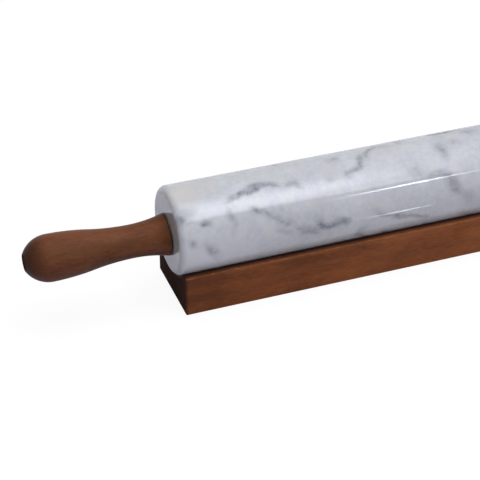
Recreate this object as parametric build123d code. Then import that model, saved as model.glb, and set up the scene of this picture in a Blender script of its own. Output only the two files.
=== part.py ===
from build123d import *
import math
import os

# A rolling pin with a marble barrel, lying in the trough of its wooden cradle.
# Sizes are in millimetres. X runs along the pin and Z is up. The origin is on the surface that
# the cradle stands on, under the middle of the pin.

# Marble barrel
barrel_diameter = 60.0
barrel_length = 254.0
barrel_end_round = 4.5
bore_clearance = 1.0            # free space under the rod, between the two bushings
bore_break = 0.3                # small chamfer at the mouth of each end's recess

# Cradle
floor_thickness = 18.5          # wood under the deepest line of the trough
trough_depth = 10.5
trough_clearance = 0.3          # between the marble and the wood
land_width = 5.8                # flat strip left beside each rim of the trough
barrel_overhang = 2.8           # how far the marble stands out past each end of the cradle
cradle_edge_round = 0.8         # sanded round every edge, the rims of the trough among them

# Steel rod
rod_diameter = 8.0
axle_drop = 2.0                 # the rod lies this far below the barrel's axis, low in its loose bushings
shoulder_width = 1.0            # radial step from the rod down to its thread
relief_width = 1.5              # groove beside the shoulder, where the thread runs out
relief_depth = 0.7
thread_projection = 2.4         # thread that comes out of the far end of the insert
rod_end_chamfer = 1.0

# Nylon bushings
bushing_wall = 2.0
bushing_length = 22.0
flange_thickness = 2.5
flange_width = 2.6
flange_stand = 0.2              # how far the flange stands out of the marble
flange_clearance = 0.3          # radial, round the flange in its recess
running_clearance = 0.05        # between the rod and the bottom of a bushing's bore
press_interference = 0.02       # radial, of a bushing in the marble and an insert in the wood
bushing_chamfer = 0.5

# Steel washers
washer_thickness = 1.6
washer_overlap = 4.0            # how far a washer reaches past the insert's rim
washer_clearance = 0.2          # radial, round the thread
washer_recess_clearance = 0.3   # radial, round a washer in the end of its handle
end_float = 0.3                 # play of the barrel towards each washer

# Brass inserts
insert_length = 20.0
insert_wall = 1.95
thread_clearance = 0.05
barb_count = 5
barb_groove_depth = 0.5
barb_groove_width = 1.4
slot_width = 1.6                # for the driver that screws the insert in
slot_depth = 2.0

# Turned handles, with distances counted outwards from the end of the marble
handle_reach = 95.1
handle_end_diameter = 28.4
waist_diameter = 22.0
waist_distance = 24.5
bulb_diameter = 31.0
bulb_distance = 78.6
cove_share = 0.49               # of the way from waist to bulb, where the hollow curve ends
nose_diameter = 11.7
handle_end_round = 0.4
nose_edge_round = 0.4
pilot_clearance = 0.5           # radial, round the thread in the wood past the insert
pilot_spare = 3.0               # drilled past the end of the rod
drill_tip_angle = 118.0

# One overrun for all cuts
cut_overrun = 1.0

# Worked out from the sizes above
barrel_radius = barrel_diameter / 2
half_barrel = barrel_length / 2
rod_radius = rod_diameter / 2
thread_radius = rod_radius - shoulder_width
trough_radius = barrel_radius + trough_clearance
axis_height = floor_thickness + trough_radius
cradle_height = floor_thickness + trough_depth
trough_half_width = math.sqrt(trough_radius**2 - (trough_radius - trough_depth) ** 2)
cradle_width = 2 * (trough_half_width + land_width)
cradle_length = barrel_length - 2 * barrel_overhang

bushing_bore_radius = rod_radius + axle_drop + running_clearance
sleeve_radius = bushing_bore_radius + bushing_wall
flange_radius = sleeve_radius + flange_width
insert_radius = thread_radius + thread_clearance + insert_wall
washer_radius = insert_radius + washer_overlap

shoulder_x = half_barrel + flange_stand + end_float
insert_x = shoulder_x + washer_thickness
insert_end_x = insert_x + insert_length
rod_end_x = insert_end_x + thread_projection


def ring(inner_radius, outer_radius, start_x, end_x):
    """A round tube about the X axis, between two places along it."""
    corners = [
        (start_x, inner_radius),
        (end_x, inner_radius),
        (end_x, outer_radius),
        (start_x, outer_radius),
    ]
    return revolve(make_face(Polyline(*corners, close=True)), Axis.X)


def round_edges(solid, radius):
    """The circular edges of a turned solid that have the given radius."""
    circles = solid.edges().filter_by(GeomType.CIRCLE)
    return circles.filter_by(lambda edge: math.isclose(edge.radius, radius))


def cradle():
    """A plain block with a trough of the barrel's own curve along its top."""
    block = Box(cradle_length, cradle_width, cradle_height, align=(Align.CENTER, Align.CENTER, Align.MIN))
    trough = Rotation(0, 90, 0) * Cylinder(trough_radius, cradle_length + 2 * cut_overrun)
    block -= Pos(0, 0, axis_height) * trough
    return fillet(block.edges(), cradle_edge_round)


def marble_barrel():
    """A solid cylinder of marble with rounded ends, bored through and counterbored at both ends."""
    barrel = Rotation(0, 90, 0) * Cylinder(barrel_radius, barrel_length)
    barrel = fillet(round_edges(barrel, barrel_radius), barrel_end_round)
    bore_end = half_barrel + cut_overrun
    recess_radius = flange_radius + flange_clearance
    barrel -= ring(0, rod_radius + axle_drop + bore_clearance, -bore_end, bore_end)
    sleeve_seat = ring(0, sleeve_radius, half_barrel + flange_stand - bushing_length, bore_end)
    flange_seat = ring(0, recess_radius, half_barrel + flange_stand - flange_thickness, bore_end)
    for seat in (sleeve_seat, flange_seat):
        barrel -= seat + mirror(seat, about=Plane.YZ)
    return chamfer(round_edges(barrel, recess_radius).sort_by(Axis.X)[0::3], bore_break)


def bushing():
    """A flanged sleeve, pressed into the marble, in which the rod lies loosely."""
    face_x = half_barrel + flange_stand
    sleeve_end_x = face_x - bushing_length
    sleeve = ring(bushing_bore_radius, sleeve_radius + press_interference, sleeve_end_x, face_x)
    flange = ring(bushing_bore_radius, flange_radius, face_x - flange_thickness, face_x)
    body = sleeve + flange
    inner_end = round_edges(body, sleeve_radius + press_interference).sort_by(Axis.X)[0]
    return chamfer(inner_end, bushing_chamfer)


def axle_rod():
    """The rod through the barrel, stepped down at both ends to a thread."""
    relief_x = shoulder_x + relief_width
    relief_radius = thread_radius - relief_depth
    right_half = [
        (0, rod_radius),
        (shoulder_x, rod_radius),
        (shoulder_x, relief_radius),
        (relief_x, relief_radius),
        (relief_x, thread_radius),
        (rod_end_x - rod_end_chamfer, thread_radius),
        (rod_end_x, thread_radius - rod_end_chamfer),
        (rod_end_x, 0),
        (0, 0),
    ]
    half = revolve(make_face(Polyline(*right_half, close=True)), Axis.X)
    return half + mirror(half, about=Plane.YZ)


def washer():
    """A plain washer between the rod's shoulder and the insert."""
    return ring(thread_radius + washer_clearance, washer_radius, shoulder_x, insert_x)


def insert():
    """A barbed brass sleeve in the handle, with a driver slot across its near end."""
    body = ring(thread_radius + thread_clearance, insert_radius + press_interference, insert_x, insert_end_x)
    groove_step = insert_length / barb_count
    for number in range(barb_count):
        middle = insert_x + groove_step * (number + 0.5)
        groove_radius = insert_radius - barb_groove_depth
        start = middle - barb_groove_width / 2
        body -= ring(groove_radius, insert_radius + cut_overrun, start, start + barb_groove_width)
    slot = Box(2 * slot_depth, 2 * (insert_radius + cut_overrun), slot_width)
    return body - Pos(insert_x, 0, 0) * slot


def handle_outline():
    """The turned outline: a flare, a waist, a cove into a bulb, a domed end and a flat nose."""
    end_point = Vector(shoulder_x, handle_end_diameter / 2)
    waist = Vector(half_barrel + waist_distance, waist_diameter / 2)
    crest = Vector(half_barrel + bulb_distance, bulb_diameter / 2)
    nose = Vector(half_barrel + handle_reach, nose_diameter / 2)
    join = waist + (crest - waist) * cove_share
    return [
        TangentArc(waist, end_point, tangent=(-1, 0)),
        TangentArc(waist, join, tangent=(1, 0)),
        TangentArc(crest, join, tangent=(-1, 0)),
        TangentArc(crest, nose, tangent=(1, 0)),
        Line(nose, (nose.X, 0)),
    ], end_point


def handle():
    """A turned handle, bored from its inner end for the washer, the insert and the rod."""
    outline, end_point = handle_outline()
    pilot_radius = thread_radius + pilot_clearance
    pilot_x = rod_end_x + pilot_spare
    tip_x = pilot_x + pilot_radius / math.tan(math.radians(drill_tip_angle / 2))
    recess_radius = washer_radius + washer_recess_clearance
    bore = Polyline(
        (half_barrel + handle_reach, 0),
        (tip_x, 0),
        (pilot_x, pilot_radius),
        (insert_end_x, pilot_radius),
        (insert_end_x, insert_radius),
        (insert_x, insert_radius),
        (insert_x, recess_radius),
        (shoulder_x, recess_radius),
        (end_point.X, end_point.Y),
    )
    body = revolve(make_face([*outline, *bore.edges()]), Axis.X)
    body = fillet(round_edges(body, handle_end_diameter / 2), handle_end_round)
    return fillet(round_edges(body, nose_diameter / 2), nose_edge_round)


def write(name, solid):
    """One STEP file for each piece."""
    export_step(solid, f"parts/{name}.step")


os.makedirs("parts", exist_ok=True)
on_barrel_axis = Pos(0, 0, axis_height)
on_rod_axis = Pos(0, 0, axis_height - axle_drop)
write("cradle", cradle())
write("marble_barrel", on_barrel_axis * marble_barrel())
write("axle_rod", on_rod_axis * axle_rod())
for name, make, place in (
    ("bushing", bushing, on_barrel_axis),
    ("washer", washer, on_rod_axis),
    ("insert", insert, on_rod_axis),
    ("handle", handle, on_rod_axis),
):
    piece = make()
    write("right_" + name, place * piece)
    write("left_" + name, place * mirror(piece, about=Plane.YZ))
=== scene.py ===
# %% [markdown]
# # A marble rolling pin in its wooden cradle
#
# The pin is a solid marble barrel that turns on a steel rod between two turned handles. It lies
# in the trough of a plain block of stained wood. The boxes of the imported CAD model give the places
# and outer sizes, and the other sizes here are those of its source. This file gives the marble,
# the wood and the light. Blender works in metres, so sizes that are easier to read in millimetres
# are multiplied by MM.

import math
import random

import bmesh
import bpy
from mathutils import Matrix, Vector


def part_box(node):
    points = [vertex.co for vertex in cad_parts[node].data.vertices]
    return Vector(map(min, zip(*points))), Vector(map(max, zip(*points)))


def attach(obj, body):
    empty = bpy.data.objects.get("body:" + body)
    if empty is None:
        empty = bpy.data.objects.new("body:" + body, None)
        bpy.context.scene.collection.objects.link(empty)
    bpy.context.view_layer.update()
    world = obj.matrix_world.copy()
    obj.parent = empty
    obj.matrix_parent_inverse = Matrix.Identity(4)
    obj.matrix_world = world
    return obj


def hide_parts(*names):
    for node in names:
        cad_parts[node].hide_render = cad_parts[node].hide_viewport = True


MM = 0.001
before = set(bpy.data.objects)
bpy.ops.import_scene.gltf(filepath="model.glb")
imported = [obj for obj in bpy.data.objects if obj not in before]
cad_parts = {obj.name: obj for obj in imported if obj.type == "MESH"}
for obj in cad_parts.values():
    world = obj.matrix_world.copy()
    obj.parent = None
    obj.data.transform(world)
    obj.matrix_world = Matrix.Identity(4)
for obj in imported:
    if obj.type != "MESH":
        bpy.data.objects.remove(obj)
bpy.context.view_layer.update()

# %% [markdown]
# ## The camera
#
# The picture was taken from above the front left. The outlines of barrel, handle and cradle fit a
# camera that looks down by about 34 degrees with a lens of about 119 mm, held level. It could be
# set by eye, but then the barrel's taper towards the right would be wrong, so the fitted values
# are used. They say where the near bottom corner of the cradle's left end is seen.

# %% Place the camera
PICTURE_SIDE = 480
SENSOR = 36.0
turn, look_down = math.radians(-20.112), math.radians(34.120)
focal_pixels = 1589.6
corner_distance = 1037.0 * MM
corner_seen_at = (186.541, 315.9)

cradle_low, cradle_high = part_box("cradle")
corner = Vector(cradle_low)
to_camera = Vector((
    math.sin(turn) * math.cos(look_down),
    -math.cos(turn) * math.cos(look_down),
    math.sin(look_down),
))
rightwards = Vector((math.cos(turn), math.sin(turn), 0))
upwards = to_camera.cross(rightwards)
off_axis_right = (corner_seen_at[0] - PICTURE_SIDE / 2) * corner_distance / focal_pixels
off_axis_up = (PICTURE_SIDE / 2 - corner_seen_at[1]) * corner_distance / focal_pixels

camera_data = bpy.data.cameras.new("camera")
camera_data.sensor_width = SENSOR
camera_data.lens = focal_pixels / PICTURE_SIDE * SENSOR
camera = bpy.data.objects.new("camera", camera_data)
bpy.context.collection.objects.link(camera)
camera.matrix_world = Matrix.Translation(
    corner + to_camera * corner_distance - rightwards * off_axis_right - upwards * off_axis_up
) @ Matrix((rightwards, upwards, to_camera)).transposed().to_4x4()
bpy.context.scene.camera = camera
print("lens", round(camera_data.lens, 1), "mm, camera at", [round(v, 3) for v in camera.location])

# %% [markdown]
# ## Helpers for meshes
#
# Barrel and handles are made on a lathe, so they are built like that here: an outline is spun
# round the pin's axis. Each corner of an outline may have a rounding radius. A rounded corner
# gets a short arc, and a support point just past each end of the arc keeps the flat faces beside
# it flat in the polish.

# %% Round the corners of an outline and spin it
AROUND = 192  # steps round the axis
SUPPORT = 0.08 * MM  # from the end of an arc to its support point
ON_AXIS = 0.0001 * MM  # a radius below this is a single point


def soften(outline, steps=8):
    """Turns (x, radius, rounding) corners into plain points, with an arc at each rounded corner."""
    points = []
    for number, (x, radius, rounding) in enumerate(outline):
        here = Vector((x, radius))
        if not rounding:
            points.append(here)
            continue
        before = (Vector(outline[number - 1][:2]) - here).normalized()
        after = (Vector(outline[(number + 1) % len(outline)][:2]) - here).normalized()
        half_angle = before.angle(after) / 2
        reach = rounding / math.tan(half_angle)
        centre = here + (before + after).normalized() * rounding / math.sin(half_angle)
        start, end = here + before * reach - centre, here + after * reach - centre
        sweep = start.angle(end)
        points.append(centre + start + before * SUPPORT)
        for step in range(steps + 1):
            share = step / steps
            along = start * math.sin((1 - share) * sweep) + end * math.sin(share * sweep)
            points.append(centre + along / math.sin(sweep))
        points.append(centre + end + after * SUPPORT)
    return points


def finish_mesh(name, shape, sharp_angle=30):
    """Makes an object of a bmesh, smooth all over except where faces meet at a real corner."""
    bmesh.ops.recalc_face_normals(shape, faces=shape.faces)
    mesh = bpy.data.meshes.new(name)
    shape.to_mesh(mesh)
    shape.free()
    mesh.shade_smooth()
    mesh.set_sharp_from_angle(angle=math.radians(sharp_angle))
    piece = bpy.data.objects.new(name, mesh)
    bpy.context.collection.objects.link(piece)
    return piece


def spin(name, points, axis_height):
    """Spins an outline round the pin's axis. One that starts off the axis is a closed loop."""
    shape = bmesh.new()
    rings = []
    for x, radius in points:
        if radius < ON_AXIS:
            rings.append([shape.verts.new((x, 0, axis_height))])
            continue
        turns = [2 * math.pi * step / AROUND for step in range(AROUND)]
        ring = [(x, radius * math.cos(t), axis_height + radius * math.sin(t)) for t in turns]
        rings.append([shape.verts.new(point) for point in ring])
    following = rings[1:] if len(rings[0]) == 1 else rings[1:] + rings[:1]
    for first, second in zip(rings, following):
        for step in range(AROUND):
            around = ((first, step), (first, step + 1), (second, step + 1), (second, step))
            corners = [ring[place % len(ring)] for ring, place in around]
            shape.faces.new(list(dict.fromkeys(corners)))
    piece = finish_mesh(name, shape)
    print(name, len(piece.data.polygons), "faces")
    return piece


# %% [markdown]
# ## The barrel
#
# The barrel is a cylinder of solid stone, rounded at both ends and polished all over. It is bored
# through, and each end has a stepped recess for its bushing. One closed outline holds the
# outside, the recesses and the bore, so the stone has its real thickness everywhere.

# %% Spin the barrel
barrel_low, barrel_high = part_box("marble_barrel")
half_barrel = barrel_high[0]
barrel_radius = (barrel_high[1] - barrel_low[1]) / 2
axis_height = (barrel_high[2] + barrel_low[2]) / 2
end_round = 4.5 * MM
bore_radius = 7 * MM
sleeve_radius = 8.05 * MM
recess_radius = 10.95 * MM
recess_depth = 2.3 * MM
mouth_break = 0.3 * MM
sleeve_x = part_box("right_bushing")[0][0]
flange_x = half_barrel - recess_depth

right_end = [
    (sleeve_x, bore_radius, 0),
    (sleeve_x, sleeve_radius, 0),
    (flange_x, sleeve_radius, 0),
    (flange_x, recess_radius, 0),
    (half_barrel - mouth_break, recess_radius, 0),
    (half_barrel, recess_radius + mouth_break, 0),
    (half_barrel, barrel_radius, end_round),
]
left_end = [(-x, radius, rounding) for x, radius, rounding in reversed(right_end)]
barrel = spin("polished_barrel", soften(right_end + left_end, steps=16), axis_height)
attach(barrel, "barrel")
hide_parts("marble_barrel")

# %% [markdown]
# ## The handles
#
# Each handle is turned from one piece of wood: a flare against the marble, a waist, a long bulb,
# a domed end and the small flat that the lathe's centre leaves. Four arcs that leave the waist
# and the bulb level with the axis give that outline. The bore from the inner end holds washer,
# insert and rod.

# %% Spin the handles
rod_low, rod_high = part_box("axle_rod")
rod_height = (rod_high[2] + rod_low[2]) / 2
insert_low, insert_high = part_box("right_insert")
handle_low, handle_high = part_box("right_handle")
flare_radius, waist_radius, bulb_radius, nose_radius = 14.2 * MM, 11.0 * MM, 15.5 * MM, 5.85 * MM
waist_distance, bulb_distance = 24.5 * MM, 78.6 * MM
cove_share = 0.49
handle_edge_round = 0.4 * MM
washer_radius, insert_radius, pilot_radius = 9.3 * MM, 5 * MM, 3.5 * MM
pilot_spare = 3 * MM
drill_half_angle = math.radians(59)

flare_point = Vector((handle_low[0], flare_radius))
waist = Vector((half_barrel + waist_distance, waist_radius))
bulb = Vector((half_barrel + bulb_distance, bulb_radius))
nose = Vector((handle_high[0], nose_radius))
cove_end = waist + (bulb - waist) * cove_share
pilot_x = rod_high[0] + pilot_spare
drill_tip = pilot_radius / math.tan(drill_half_angle)


def level_arc(start, end, steps=20):
    """Points on the arc that leaves start level with the axis and reaches end, start left out."""
    run, rise = end - start
    radius = (run * run + rise * rise) / (2 * rise)
    sweep = 2 * math.atan(rise / run)
    turns = [sweep * step / steps for step in range(1, steps + 1)]
    return [start + Vector((radius * math.sin(t), radius * (1 - math.cos(t)))) for t in turns]


curve = list(reversed(level_arc(waist, flare_point)))[1:] + [waist]
curve += level_arc(waist, cove_end) + list(reversed(level_arc(bulb, cove_end)))[1:] + [bulb]
curve += level_arc(bulb, nose)[:-1]
handle_outline = [
    (pilot_x + drill_tip, 0, 0),
    (pilot_x, pilot_radius, 0),
    (insert_high[0], pilot_radius, 0),
    (insert_high[0], insert_radius, 0),
    (insert_low[0], insert_radius, 0),
    (insert_low[0], washer_radius, 0),
    (flare_point.x, washer_radius, 0),
    (*flare_point, handle_edge_round),
    *[(*point, 0) for point in curve],
    (*nose, handle_edge_round),
    (nose.x, 0, 0),
]
handles = []
for side, name in ((1, "right_handle"), (-1, "left_handle")):
    points = [Vector((side * x, radius)) for x, radius in soften(handle_outline)]
    handle = spin("turned_" + name, points, rod_height)
    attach(handle, "axle")
    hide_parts(name)
    handles.append(handle)

# %% [markdown]
# ## The cradle
#
# The cradle is one block of wood with a trough of the barrel's own curve along its top. Its
# section is drawn once and drawn out along the pin, then every edge is eased as with sandpaper. A
# box with a cylinder cut out of it would give the same form, but its edges would be harder to
# round evenly.

# %% Draw out the cradle
trough_clearance = 0.3 * MM
trough_radius = barrel_radius + trough_clearance
cradle_length = cradle_high[0] - cradle_low[0]
cradle_half_width, cradle_height = cradle_high[1], cradle_high[2]
edge_ease = 0.8 * MM
trough_steps = 48
least_corner = math.radians(25)

rim_angle = math.acos((axis_height - cradle_height) / trough_radius)
section = [(cradle_half_width, cradle_height), (cradle_half_width, 0),
           (-cradle_half_width, 0), (-cradle_half_width, cradle_height)]
for step in range(trough_steps + 1):
    angle = rim_angle * (2 * step / trough_steps - 1)
    section.append((trough_radius * math.sin(angle), axis_height - trough_radius * math.cos(angle)))

shape = bmesh.new()
start_face = shape.faces.new([shape.verts.new((cradle_low[0], y, z)) for y, z in section])
drawn = bmesh.ops.extrude_face_region(shape, geom=[start_face])["geom"]
moved = [item for item in drawn if isinstance(item, bmesh.types.BMVert)]
bmesh.ops.translate(shape, verts=moved, vec=(cradle_length, 0, 0))
bmesh.ops.recalc_face_normals(shape, faces=shape.faces)
corners = [edge for edge in shape.edges if edge.calc_face_angle(0) > least_corner]
bmesh.ops.bevel(shape, geom=corners, offset=edge_ease, offset_type="OFFSET", segments=4,
                profile=0.5, affect="EDGES", clamp_overlap=True)
cradle = finish_mesh("cradle_block", shape)
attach(cradle, "cradle")
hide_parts("cradle")
print("cradle", [round(v / MM, 2) for v in cradle.dimensions], "mm")

# %% [markdown]
# ## Helpers for materials
#
# Every material is a small graph of nodes. One function adds a node, sets it up and connects it,
# and five short ones use it for what comes again and again: noise, a step of a calculation with
# values or with vectors, a change of range and a mix of two colours. Another turns the hex value
# that a paint chart or picture editor shows into the linear colour that Blender mixes. Patterns
# are given in waves per millimetre, so they have their real size.

# %% Add nodes and colours
MIX_FACTOR, MIX_A, MIX_B, MIX_RESULT = 0, 6, 7, 2  # the Mix node's sockets for colours


def colour(hex_value):
    """An sRGB hex value as a linear colour."""
    parts = [int(hex_value[place : place + 2], 16) / 255 for place in (1, 3, 5)]
    linear = [
        part / 12.92 if part <= 0.04045 else ((part + 0.055) / 1.055) ** 2.4 for part in parts
    ]
    return (*linear, 1)


def add_node(tree, kind, inputs=None, **settings):
    """Adds a node. An input takes a value, another node's socket or a node's first output."""
    node = tree.nodes.new("ShaderNode" + kind)
    for name, value in settings.items():
        setattr(node, name, value)
    for name, value in (inputs or {}).items():
        if isinstance(value, bpy.types.Node):
            value = value.outputs[0]
        if isinstance(value, bpy.types.NodeSocket):
            tree.links.new(value, node.inputs[name])
        else:
            node.inputs[name].default_value = value
    return node


def noise(tree, place, scale, detail, roughness=0.5):
    """Soft noise with scale waves to a millimetre, and finer ones on top of them."""
    inputs = {"Vector": place, "Scale": scale, "Detail": detail, "Roughness": roughness}
    return add_node(tree, "TexNoise", inputs)


def maths(tree, operation, *values, **settings):
    """One step of a calculation, with up to three values."""
    return add_node(tree, "Math", dict(enumerate(values)), operation=operation, **settings)


def vector_maths(tree, operation, *values):
    """One step of a calculation, with up to three vectors."""
    return add_node(tree, "VectorMath", dict(enumerate(values)), operation=operation)


def ranged(tree, value, low, high, at_low=0.0, at_high=1.0, **settings):
    """Turns low to high into at_low to at_high, and goes past neither of them."""
    inputs = {
        "Value": value, "From Min": low, "From Max": high, "To Min": at_low, "To Max": at_high
    }
    return add_node(tree, "MapRange", inputs, **settings)


def mixed(tree, share, first, second):
    """Mixes two colours. Each may be a hex value, a colour or a socket."""
    parts = [colour(part) if isinstance(part, str) else part for part in (first, second)]
    inputs = {MIX_FACTOR: share, MIX_A: parts[0], MIX_B: parts[1]}
    return add_node(tree, "Mix", inputs, data_type="RGBA").outputs[MIX_RESULT]


def new_material(name):
    """A material with a bare Principled shader, and a point's place on the piece in mm."""
    material = bpy.data.materials.new(name)
    material.use_nodes = True
    tree = material.node_tree
    tree.nodes.clear()
    shader = add_node(tree, "BsdfPrincipled")
    add_node(tree, "OutputMaterial", {"Surface": shader})
    place = add_node(
        tree, "Mapping",
        {"Vector": add_node(tree, "TexCoord").outputs["Object"],
         "Location": (0, 0, -axis_height / MM), "Scale": (1 / MM,) * 3},
    )
    return material, tree, shader, place


# %% [markdown]
# ## Polished marble
#
# Marble is chalky stone that heat and pressure turned into crystals. Its grey veins are thin
# sheets of other minerals, bent and smeared while the stone was soft. Each vein here is a path
# over the surface with a flattened ellipsoid set into the stone at every step of it. One noise
# bends them all and a finer one frays them, so they look like smoke. A plain wave texture would
# be quicker, but its veins would be all alike and would run on without end. Between the veins the
# white is mottled, a little warmer in some places and paler in others, and a pale patch on the
# lower front is painted light. The polish is almost a mirror: it gives the eye the sharp edges of
# the lamps and the handle's own reflection in the end face. The crystals are too fine to show.

# %% Where the veins run
# Each path gives places along the pin in mm and round the barrel in degrees above its front.
# After it come the half width in mm at the middle of the path and the strength from 0 to 1.
seen_veins = [
    ([(-91, 57), (-82, 62), (-74.5, 67), (-68, 71), (-61, 69.5), (-56, 64)], 2.2, 0.42),
    ([(-79, 64), (-74, 67), (-70, 69.5)], 2.4, 0.42),
    ([(-91, 57.5), (-85, 60), (-80, 62)], 1.8, 0.3),
    ([(-52, 59), (-44.5, 64.5), (-41, 57)], 2.2, 0.35),
    ([(-93, 44), (-90, 32)], 1.8, 0.42),
    ([(-90, 26), (-91, 15)], 2.0, 0.14),
    ([(-111, 34), (-108, 33)], 1.7, 0.75),
    ([(-75, 41), (-73, 38), (-68, 32), (-62, 24.5), (-57, 17), (-51, 14)], 2.4, 0.24),
    ([(-76, 40), (-72, 37)], 2.2, 0.22),
    ([(-61, 11), (-53, 0)], 2.0, 0.25),
    ([(-66, 33), (-56, 24), (-44, 18), (-28, 22)], 5.5, 0.1),
    ([(-49, 6), (-42, 1), (-37, -3), (-32, -9)], 2.2, 0.3),
    ([(-47, -1), (-40, -8)], 4.5, 0.12),
    ([(-33, 10), (-29.5, 2), (-27, 0)], 2.8, 0.5),
    ([(-29, 1), (-22, -2), (-18, 2), (-14.5, 1), (-12.5, -3)], 2.6, 0.4),
    ([(-36, -4), (-24, -1)], 5.0, 0.15),
    ([(-109, 7), (-103, -12)], 2.6, 0.5),
    ([(-121, 14), (-118, 10)], 2.2, 0.4),
    ([(-126, 45), (-120, 42)], 2.0, 0.6),
    ([(-9, 60), (-4.5, 64), (2, 69), (5.5, 77), (7, 86)], 2.1, 0.36),
    ([(6, 83), (8, 87)], 2.6, 0.25),
    ([(11, 81), (13, 91), (15.5, 97), (19, 99.5), (22, 105)], 2.0, 0.3),
    ([(24, 105), (29, 98)], 3.2, 0.3),
    ([(-21, 59), (-18, 60)], 2.2, 0.3),
    ([(-13, 91), (-11, 91)], 2.6, 0.25),
    ([(38, 47), (44, 45)], 3.4, 0.3),
    ([(38, 108), (41, 105)], 3.0, 0.3),
    ([(46, 38), (54, 37), (62, 35)], 2.6, 0.36),
    ([(61, 33), (65.5, 22), (67.5, 15)], 4.0, 0.36),
    ([(8, 6), (20, -3), (28, -7.5), (37, -13), (47, -20)], 1.7, 0.5),
    ([(63, 78), (63, 64)], 3.4, 0.4),
    ([(73, 78), (76, 77)], 2.6, 0.25),
    ([(86, 99), (91, 97)], 3.4, 0.35),
    ([(72, 8), (80, -6)], 4.5, 0.22),
]
# The rest of the barrel gets as many veins for its area, with the same spread of sizes.
draw = random.Random(7)
HIDDEN_VEINS = 34
SEEN_UP_TO_ANGLE, SEEN_UP_TO_X = 118, 92  # the photo shows the barrel no further round or along
hidden_veins = []
while len(hidden_veins) < HIDDEN_VEINS:
    x, angle = draw.uniform(-124, 124), draw.uniform(-20, 340)
    if angle > SEEN_UP_TO_ANGLE or x > SEEN_UP_TO_X:
        path, slope = [(x, angle)], math.radians(draw.gauss(-30, 35))
        for step in range(draw.choice((1, 1, 2, 3))):
            x, angle = x + 8 * math.cos(slope), angle + 14 * math.sin(slope)
            path.append((x, angle))
            slope += math.radians(draw.gauss(0, 30))
        hidden_veins.append((path, draw.uniform(1.8, 3.2), draw.uniform(0.3, 0.6)))
print("veins:", len(seen_veins), "in view,", len(hidden_veins), "elsewhere")

# %% Bend and fray the veins
BEND, FRAY = 7.0, 1.7  # mm that the two noises move a point of a vein
CENTRE = 0.65  # takes out the mean of both noises, so that a vein stays by its path
VEIN_DEPTH = 10  # mm that a vein reaches into the stone
marble, tree, shader, place = new_material("polished_white_marble")
bend = noise(tree, place, 0.09, 1.5)
fray = noise(tree, place, 0.4, 2.5, 0.6)
frayed = vector_maths(tree, "MULTIPLY_ADD", fray.outputs["Color"], (FRAY,) * 3, place)
centred = vector_maths(tree, "SUBTRACT", bend.outputs["Color"], (CENTRE,) * 3)
smeared = vector_maths(tree, "MULTIPLY_ADD", centred, (BEND,) * 3, frayed)


def on_barrel(x, angle):
    """The direction out of the stone, and the point of the surface there in mm."""
    outwards = Vector((0, -math.cos(math.radians(angle)), math.sin(math.radians(angle))))
    return outwards, outwards * barrel_radius / MM + Vector((x, 0, 0))


def patch(start, end, half_width, depth):
    """A soft patch in the stone between two places, strongest in its middle."""
    outwards, centre = on_barrel((start[0] + end[0]) / 2, (start[1] + end[1]) / 2)
    reach = on_barrel(*end)[1] - on_barrel(*start)[1]
    along = (reach - outwards * reach.dot(outwards)).normalized()
    turned = Matrix((along, outwards.cross(along), outwards)).transposed().to_euler()
    local = add_node(
        tree, "Mapping",
        {"Vector": smeared, "Location": centre, "Rotation": turned,
         "Scale": (reach.length * 0.8 + half_width, half_width, depth)},
        vector_type="TEXTURE",
    )
    sphere = add_node(tree, "TexGradient", {"Vector": local}, gradient_type="QUADRATIC_SPHERE")
    return sphere.outputs[1]


# A patch fades so softly that it has to be wider and darker than its vein looks.
SPREAD, TAPER, DARKNESS = 2.5, 0.7, 1.9
veins = 0.0
for path, half_width, strength in seen_veins + hidden_veins:
    for number, (start, end) in enumerate(zip(path, path[1:])):
        from_middle = abs(2 * (number + 0.5) / (len(path) - 1) - 1)
        body = patch(start, end, half_width * (SPREAD - TAPER * from_middle), VEIN_DEPTH)
        veins = maths(tree, "MULTIPLY_ADD", body, strength * DARKNESS, veins)

# %% Colour and polish of the marble
crumble = noise(tree, place, 0.3, 3, 0.65)
broken = ranged(tree, crumble, 0.34, 0.64, 0.6, 1.1)
levelled = maths(tree, "TANH", veins)
smoky = maths(tree, "MULTIPLY", levelled, broken, use_clamp=True)
clouds = noise(tree, smeared, 0.05, 7, 0.66)
mottle = noise(tree, frayed, 0.28, 4, 0.7)
mottled = maths(tree, "MULTIPLY_ADD", mottle, 0.75, clouds)
# Mottled stone with a warmer drift and a creamy patch at the upper left. The pale patch
# below it is painted light that brightens the barrel's lower front.
stone = mixed(tree, ranged(tree, mottled, 0.68, 1.07), "#E2E5EC", "#CFD2DB")
stone = mixed(tree, ranged(tree, bend, 0.45, 0.65, 0.0, 0.35), stone, "#E3E1DF")
stone = mixed(tree, patch((-136, 78), (-104, 92), 24, 10), stone, "#E8E4E0")
stone = mixed(tree, patch((-132, -14), (-86, -14), 34, 20), stone, "#EFF1FA")
veined = mixed(tree, smoky, stone, "#7C818D")
tree.links.new(veined, shader.inputs["Base Color"])
shader.inputs["Roughness"].default_value = 0.05
shader.inputs["IOR"].default_value = 1.56
barrel.data.materials.append(marble)
print("marble:", len(tree.nodes), "nodes")

# %% [markdown]
# ## Stained wood
#
# Handles and cradle are a plain close-grained hardwood with a red-brown stain and a thin satin
# oil. Five things make it read as wood: faint growth rings, cut along their length by the long
# faces and across by the ends, fine fibres and pores, a slow drift from darker to lighter and to
# more yellow stain, a tone that grows lighter in one direction, and end grain that drinks more
# stain and turns nearly black. On the handles that direction is upwards, so their tops are
# painted lighter, as painted light from above. On the cradle it runs towards the right end. The
# first four come from the point's place in the block, so the pattern runs through the piece like
# real wood, and the last comes from where a face looks. A photo of wood would repeat, and it would
# bend round the turned handle. The oil is thin, so little of the light is mirrored and the brown
# stays deep.

# %% Wood
RING_SPACING = 5.0  # mm
RING_SHARE = 0.22  # of the figure, against 1 each for fibres and blotches
RING_WANDER = 9.0  # mm that a ring strays from a true circle


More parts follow.
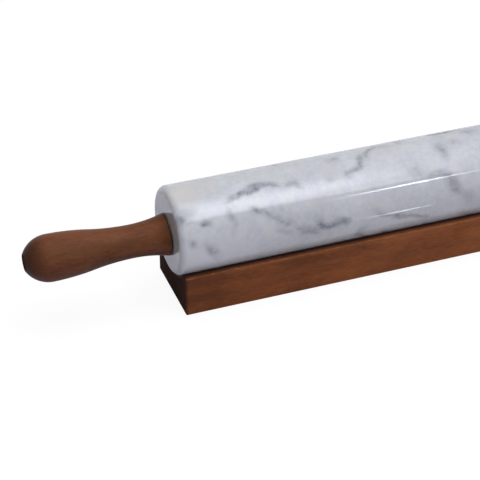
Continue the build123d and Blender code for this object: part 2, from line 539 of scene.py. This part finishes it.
def stained_wood(name, light, dark, yellowish, pore, heart, roughness, lighter_per_mm):
    """Stained hardwood. Its growth rings circle a line given in mm beside the pin's axis."""
    material, tree, shader, place = new_material(name)
    wander = add_node(
        tree, "Mapping", {"Vector": place, "Location": (0, *heart), "Scale": (0.12, 1, 1)}
    )
    drift = noise(tree, wander, 0.09, 3)
    stray = (0, RING_WANDER, RING_WANDER)
    shift = vector_maths(tree, "MULTIPLY_ADD", drift.outputs["Color"], stray, wander)
    across = vector_maths(tree, "MULTIPLY", shift, (0, 1, 1))
    ring_radius = vector_maths(tree, "LENGTH", across).outputs["Value"]
    rings = add_node(
        tree, "TexNoise", {"W": ring_radius, "Scale": 1 / RING_SPACING, "Detail": 2},
        noise_dimensions="1D",
    )
    fibre_place = add_node(tree, "Mapping", {"Vector": place, "Scale": (0.18, 1.0, 1.0)})
    fibres = noise(tree, fibre_place, 1.0, 5, 0.75)
    blotch_place = add_node(
        tree, "Mapping",
        {"Vector": place, "Rotation": (0, 0.5, 0), "Scale": (0.025, 0.06, 0.06)},
    )
    blotches = noise(tree, blotch_place, 1.0, 3)
    grain = maths(tree, "ADD", fibres, blotches)
    figure = maths(tree, "MULTIPLY_ADD", rings, RING_SHARE, grain)
    # A tone slope in mm; on the handles it runs upwards and paints their tops lighter as painted
    # light.
    slope_and_painted_top_light = vector_maths(tree, "DOT_PRODUCT", place, lighter_per_mm).outputs["Value"]
    tone = ranged(tree, maths(tree, "ADD", slope_and_painted_top_light, figure), 0.81, 1.41)
    ochre = ranged(tree, drift, 0.5, 0.7, 0.0, 0.4)
    pore_place = add_node(tree, "Mapping", {"Vector": place, "Scale": (0.3, 2.6, 2.6)})
    pore_cells = add_node(tree, "TexVoronoi", {"Vector": pore_place, "Scale": 1.0})
    pores = ranged(tree, pore_cells.outputs["Distance"], 0.1, 0.28, 0.3, 0.0)
    stained = mixed(tree, ochre, mixed(tree, tone, dark, light), yellowish)
    pored = mixed(tree, pores, stained, pore)
    bump = add_node(tree, "Bump", {"Height": figure, "Strength": 0.12, "Distance": 0.2 * MM})
    tree.links.new(bump.outputs["Normal"], shader.inputs["Normal"])
    shader.inputs["Roughness"].default_value = roughness
    shader.inputs["Specular IOR Level"].default_value = 0.12
    print(name, len(tree.nodes), "nodes")
    return material, tree, shader, place, pored


# %% [markdown]
# ### The handles' ends
#
# On a turned handle the domed end cuts across the fibres, so it takes more stain and darkens
# towards the nose. A narrow band at the rim of the flare, against the marble, is painted darker
# too: painted shade of the gap where the handle meets the stone. The first comes from how far the
# surface turns outwards, the second from the place along the handle. A finish of its own for
# either would end in a hard line, and the real ones fade.

# %% Turned wood
# The handles' tone slope runs upwards: their tops are painted lighter, painted light from above.
handle_wood, tree, shader, place, pored = stained_wood(
    "turned_stained_hardwood", light="#835036", dark="#4D2C1C", yellowish="#704B2C",
    pore="#2E1A14", heart=(-30, 55), roughness=0.45, lighter_per_mm=(0, 0, 0.013),
)
flare_x = handle_low[0] / MM
place_x = add_node(tree, "SeparateXYZ", {0: place}).outputs["X"]
normal = add_node(tree, "TexCoord").outputs["Normal"]
normal_x = add_node(tree, "SeparateXYZ", {0: normal}).outputs["X"]
facing_out = maths(tree, "MULTIPLY", normal_x, maths(tree, "SIGN", place_x))
end_share = ranged(tree, facing_out, 0.2, 0.82, 0.0, 0.82)
# Painted shade: a band at the flare's rim, where it meets the marble, is darkened.
painted_flare_shade = ranged(
    tree, maths(tree, "ABSOLUTE", place_x), flare_x + 0.2, flare_x + 2.0, 0.6, 0.0,
    interpolation_type="SMOOTHSTEP",
)
domed = mixed(tree, end_share, pored, "#38211A")
tree.links.new(mixed(tree, painted_flare_shade, domed, "#2B1913"), shader.inputs["Base Color"])
for handle in handles:
    handle.data.materials.append(handle_wood)

# %% [markdown]
# ### The block's edges and ends
#
# Sanding wears the stain off the long top edges in broken chips, and the thin, broken, lighter
# line along them is partly that wear and partly a painted highlight of the edge catching the light.
# The rims of the trough are painted dark, painted shade under the barrel's overhang, and a narrow
# band by the sawn ends is painted dark, painted shade where the block rounds over to its ends.
# The edges are found by how far a point lies from them in the block's section, so the front and the
# back come out alike, which lines painted by hand would hardly do. The sawn ends are a finish of
# their own, open end grain, dull and nearly black, and so are the flat ends of the handles.

# %% Worn edges, painted highlight and painted shade
block_wood, tree, shader, place, pored = stained_wood(
    "stained_hardwood_block", light="#A76239", dark="#6F4028", yellowish="#8D5430",
    pore="#341D17", heart=(60, 95), roughness=0.5, lighter_per_mm=(0.0018, 0, 0),
)
half_section = vector_maths(tree, "ABSOLUTE", place)


def beside(edge_y, edge_z, near, far, most):
    """The share most within near mm of an edge of the section, and 0 from far mm on.

    Both places are in metres, edge_y from the middle and edge_z down from the pin's axis.
    """
    offset = vector_maths(tree, "SUBTRACT", half_section, (0, edge_y / MM, edge_z / MM))
    flat = vector_maths(tree, "MULTIPLY", offset, (0, 1, 1))
    away = vector_maths(tree, "LENGTH", flat).outputs["Value"]
    return ranged(tree, away, near, far, most, 0.0, interpolation_type="SMOOTHSTEP")


top_depth = axis_height - cradle_height
rim_half_width = trough_radius * math.sin(rim_angle)
arris_inset = 0.3 * MM
chip_place = add_node(tree, "Mapping", {"Vector": place, "Scale": (0.12, 0.6, 0.6)})
chipped = ranged(tree, noise(tree, chip_place, 1.0, 5, 0.7), 0.52, 0.7, 0.15, 1.0)
# The light line along the arris is partly worn chips and partly a painted highlight of the edge.
arris = beside(cradle_half_width - arris_inset, top_depth + arris_inset, 0.3, 1.2, 0.85)
wear_and_edge_highlight = maths(tree, "MULTIPLY", arris, chipped)
# Painted shade: the trough's rims under the barrel and a band by each sawn end are darkened.
painted_trough_shade = beside(rim_half_width, top_depth, 1.0, 4.5, 0.9)
end_x = cradle_high[0] / MM
painted_end_shade = ranged(
    tree, add_node(tree, "SeparateXYZ", {0: half_section}).outputs["X"],
    end_x - 2.2, end_x - 0.2, 0.0, 0.6, interpolation_type="SMOOTHSTEP",
)
with_painted_shade = mixed(tree, painted_end_shade, mixed(tree, painted_trough_shade, pored, "#22120D"), "#2E1A13")
tree.links.new(mixed(tree, wear_and_edge_highlight, with_painted_shade, "#C58A5C"), shader.inputs["Base Color"])
cradle.data.materials.append(block_wood)

# %% End grain
END_FACING = 0.97  # a face that looks along the pin at least this squarely is an end
end_wood, tree, shader, place = new_material("stained_end_grain")
end_place = add_node(tree, "Mapping", {"Vector": place, "Scale": (0.2, 1.2, 1.2)})
end_pores = noise(tree, end_place, 1.0, 4, 0.7)
end_tone = ranged(tree, end_pores, 0.35, 0.65)
tree.links.new(mixed(tree, end_tone, "#513B37", "#6C514B"), shader.inputs["Base Color"])
bump = add_node(tree, "Bump", {"Height": end_pores, "Strength": 0.2, "Distance": 0.2 * MM})
tree.links.new(bump.outputs["Normal"], shader.inputs["Normal"])
shader.inputs["Roughness"].default_value = 0.9
shader.inputs["Specular IOR Level"].default_value = 0.0
for piece in (cradle, *handles):
    piece.data.materials.append(end_wood)
    for face in piece.data.polygons:
        face.material_index = 1 if abs(face.normal.x) > END_FACING else 0
    ends = sum(face.material_index for face in piece.data.polygons)
    print(piece.name, "has end grain on", ends, "faces")

# %% [markdown]
# ## Metal and nylon inside
#
# Rod, washers, inserts and bushings are only seen when the pin is taken apart or looked at from
# close by the gaps. They keep their CAD shapes. The rod is drawn steel with a zinc coat, which
# shows faint lines along it, the inserts are turned brass with fine rings, and the bushings are
# cream nylon.

# %% Inner parts
# Each finish has its pieces, colour, metallic, roughness and waves per mm along and across the pin.
inner_finishes = {
    "zinc_plated_drawn_steel": (
        ("axle_rod", "left_washer", "right_washer"), "#BFC1C2", 1.0, 0.32, (0.02, 3, 3)
    ),
    "turned_brass": (("left_insert", "right_insert"), "#D3AE62", 1.0, 0.28, (4, 0.05, 0.05)),
    "turned_nylon": (("left_bushing", "right_bushing"), "#DEDAC9", 0.0, 0.5, (3, 0.1, 0.1)),
}
for name, (nodes, tint, metallic, roughness, waves) in inner_finishes.items():
    material, tree, shader, place = new_material(name)
    drawn_out = add_node(tree, "Mapping", {"Vector": place, "Scale": waves})
    lines = noise(tree, drawn_out, 1.0, 3)
    dulled = ranged(tree, lines, 0.0, 1.0, roughness - 0.1, roughness + 0.12)
    shaded = [0.8 * part for part in colour(tint)[:3]] + [1]
    bump = add_node(tree, "Bump", {"Height": lines, "Strength": 0.1, "Distance": 0.1 * MM})
    tree.links.new(mixed(tree, lines, tint, shaded), shader.inputs["Base Color"])
    tree.links.new(dulled.outputs[0], shader.inputs["Roughness"])
    tree.links.new(bump.outputs["Normal"], shader.inputs["Normal"])
    shader.inputs["Metallic"].default_value = metallic
    for node in nodes:
        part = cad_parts[node]
        part.data.materials.clear()
        part.data.materials.append(material)
print("inner parts:", ", ".join(inner_finishes))

# %% [markdown]
# ## Floor and surroundings
#
# The picture has a pure white ground. A floor that the lamps alone turn white would throw so much
# light back that the underside of the pin would glow. So the floor is a mid grey for the light
# that bounces. The camera sees it almost white, with a share that still takes the real shadow. A
# reflection sees white paper with its full shadow, which darkens the marble's end face low down.
# The room is white for the camera, dim for the light that it gives, and brighter near the horizon
# where the polish mirrors it.

# %% Floor and world
FLOOR_HALF_SIDE = 6.0


def kinds_of_ray(tree):
    """Two switches: what the camera sees itself or through glass, and what it sees mirrored."""
    ray = add_node(tree, "LightPath")
    camera_ray, through_glass = ray.outputs["Is Camera Ray"], ray.outputs["Is Transmission Ray"]
    return maths(tree, "MAXIMUM", camera_ray, through_glass), ray.outputs["Is Glossy Ray"]


shape = bmesh.new()
bmesh.ops.create_grid(shape, x_segments=8, y_segments=8, size=FLOOR_HALF_SIDE)
floor = finish_mesh("floor", shape)
paper = bpy.data.materials.new("white_paper_floor")
paper.use_nodes = True
tree = paper.node_tree
tree.nodes.clear()
seen, glossy = kinds_of_ray(tree)
bounce = add_node(tree, "BsdfDiffuse", {"Color": colour("#969696")})
white = add_node(tree, "Emission", {"Color": (1, 1, 1, 1), "Strength": 0.93})
matt = add_node(tree, "BsdfDiffuse", {"Color": colour("#5E5E5E")})
shown = add_node(tree, "AddShader", {0: white, 1: matt})
glow = add_node(tree, "Emission", {"Color": colour("#ECEAFF"), "Strength": 0.25})
lit_paper = add_node(tree, "BsdfDiffuse", {"Color": colour("#E6E6F0")})
mirrored = add_node(tree, "AddShader", {0: glow, 1: lit_paper})
unseen = add_node(tree, "MixShader", {0: glossy, 1: bounce, 2: mirrored})
both = add_node(tree, "MixShader", {0: seen, 1: unseen, 2: shown})
add_node(tree, "OutputMaterial", {"Surface": both})
floor.data.materials.append(paper)

world = bpy.data.worlds.new("studio")
bpy.context.scene.world = world
world.use_nodes = True
tree = world.node_tree
tree.nodes.clear()
seen, glossy = kinds_of_ray(tree)
level = ranged(tree, seen, 0.0, 1.0, 0.16, 1.0)
direction = add_node(tree, "SeparateXYZ", {0: add_node(tree, "TexCoord").outputs["Generated"]})
walls = ranged(tree, direction.outputs["Z"], 0.0, 0.8, 0.65, 0.15)
strength = maths(tree, "MULTIPLY_ADD", glossy, walls, level)
room = add_node(tree, "Background", {"Color": (1, 1, 1, 1), "Strength": strength})
add_node(tree, "OutputWorld", {"Surface": room})

# %% [markdown]
# ## Lamps
#
# A lamp that runs parallel to the pin draws a straight line along the polished barrel. Four such
# lines show in the picture: a broad one with a crisp lower edge that fades upwards and to the
# right, a pale band beside a thin bright line, and a faint thin line low down. The corners of
# each lamp follow from the law of reflection: they are where the camera would see them mirrored
# in the barrel. Each lamp is graded from edge to edge, like a real softbox with its bulb to one
# side. Its radiance times pi and its area gives the power that Blender asks for. Two soft lamps
# that the polish doesn't mirror, one overhead and one in front, light the rest.

# %% Aim and grade a lamp
axis_point = Vector((0, 0, axis_height))


def mirrored_from(angle, distance, along_x):
    """Where a lamp must hang to be mirrored at an angle above the barrel's front, at along_x."""
    a = math.radians(angle)
    normal = Vector((0, -math.cos(a), math.sin(a)))
    spot = axis_point + normal * barrel_radius + Vector((along_x, 0, 0))
    arriving = (spot - camera.location).normalized()
    leaving = arriving - normal * 2 * arriving.dot(normal)
    return spot + leaving * (distance / Vector((0, leaving.y, leaving.z)).length)


def graded(data, lengthwise, upwards, slant):
    """Grades a lamp: each list holds (place from 0 to 1, share of the full strength)."""
    data.use_nodes = True
    tree = data.node_tree
    tree.nodes.clear()
    across, up = add_node(
        tree, "SeparateXYZ", {0: add_node(tree, "NewGeometry").outputs["Parametric"]}
    ).outputs[:2]
    slanted = maths(tree, "MULTIPLY_ADD", across, slant, up)
    strength = 1.0
    for place_along, stops in ((across, lengthwise), (slanted, upwards)):
        ramp = add_node(tree, "ValToRGB", {"Fac": place_along})
        elements = ramp.color_ramp.elements
        elements[0].position, elements[-1].position = stops[0][0], stops[-1][0]
        for at, share in stops[1:-1]:
            elements.new(at)
        for element, (at, share) in zip(elements, stops):
            element.color = (share, share, share, 1)
        strength = maths(tree, "MULTIPLY", ramp, strength)
    add_node(tree, "OutputLight", {"Surface": add_node(tree, "Emission", {"Strength": strength})})


def lamp(name, low_left, low_right, top_left, radiance, tint="#FFFFFF"):
    """A flat rectangular lamp, given three of its corners."""
    side = (low_right - low_left).normalized()
    rise = (top_left - low_left) - side * (top_left - low_left).dot(side)
    data = bpy.data.lights.new(name, "AREA")
    data.shape = "RECTANGLE"
    data.size, data.size_y = (low_right - low_left).length, rise.length
    data.energy = radiance * math.pi * data.size * data.size_y
    data.color = colour(tint)[:3]
    lamp_object = bpy.data.objects.new(name, data)
    bpy.context.collection.objects.link(lamp_object)
    up = rise.normalized()
    turned = Matrix((side, up, side.cross(up))).transposed().to_4x4()
    lamp_object.matrix_world = Matrix.Translation((low_right + low_left + rise) / 2) @ turned
    lamp_object.visible_camera = False
    size = [round(length, 2) for length in (data.size, data.size_y)]
    print(name, size, "m, power", round(data.energy, 2), "W")
    return lamp_object


def line_lamp(
    name, distance, angles, x_range, radiance, lengthwise, upwards, slant=0.0, tint="#FFFFFF"
):
    """A graded lamp whose picture in the barrel fills the given angles and places along it."""
    corners = [
        mirrored_from(angles[up], distance, x_range[right] * MM)
        for right, up in ((0, 0), (1, 0), (0, 1))
    ]
    line = lamp(name, *corners, radiance, tint)
    graded(line.data, lengthwise, upwards, slant)
    return line


# %% Hang the lamps
line_lamp(
    "key_softbox", distance=2.0, angles=(36.8, 68), x_range=(-140, 90), radiance=5.4,
    lengthwise=[(0, 1), (0.3, 0.95), (0.5, 0.5), (0.75, 0.15), (1, 0)],
    upwards=[(0.14, 0), (0.16, 0.5), (0.35, 0.95), (0.5, 1), (0.75, 0.45), (1, 0)],
    slant=0.12, tint="#F2F6FF",
)
band = line_lamp(
    "pale_band", distance=1.6, angles=(38.0, 42.2), x_range=(-50, 100), radiance=1.6,
    lengthwise=[(0, 0), (0.3, 1), (0.7, 1), (1, 0)], upwards=[(0, 1), (0.5, 1), (1, 0.3)],
    tint="#FFF6EA",
)
strip = line_lamp(
    "strip_lamp", distance=1.0, angles=(32.6, 34.25), x_range=(-22, 105), radiance=17.0,
    lengthwise=[(0, 0), (0.11, 0.2), (0.25, 0.55), (0.39, 1),
                (0.53, 0.92), (0.66, 0.45), (0.79, 0.2), (1, 0.08)],
    upwards=[(0, 1), (1, 1)], tint="#F4F9FF",
)
low = line_lamp(
    "low_strip", distance=0.075, angles=(-1.0, 0.6), x_range=(-10, 52), radiance=8.0,
    lengthwise=[(0, 0), (0.25, 0.3), (0.5, 0.85), (0.7, 1), (1, 0)], upwards=[(0, 1), (1, 1)],
)
for line in (band, strip, low):
    line.visible_diffuse = False
overhead = lamp(
    "overhead_softbox", Vector((-0.7, -0.4, 1.8)), Vector((0.9, -0.4, 1.8)),
    Vector((-0.7, 0.8, 1.7)), 2.65,
)
front = lamp(
    "front_softbox", Vector((-0.6, -1.6, 0.05)), Vector((0.6, -1.6, 0.05)),
    Vector((-0.6, -1.55, 0.6)), 2.85, "#F8F6FF",
)
for softbox in (overhead, front):
    softbox.visible_glossy = False

# %% [markdown]
# ## Finish
#
# The picture is shown without a tone curve, so that colours come out as they are written.

# %% Show colours without a tone curve
bpy.context.scene.view_settings.view_transform = "Standard"
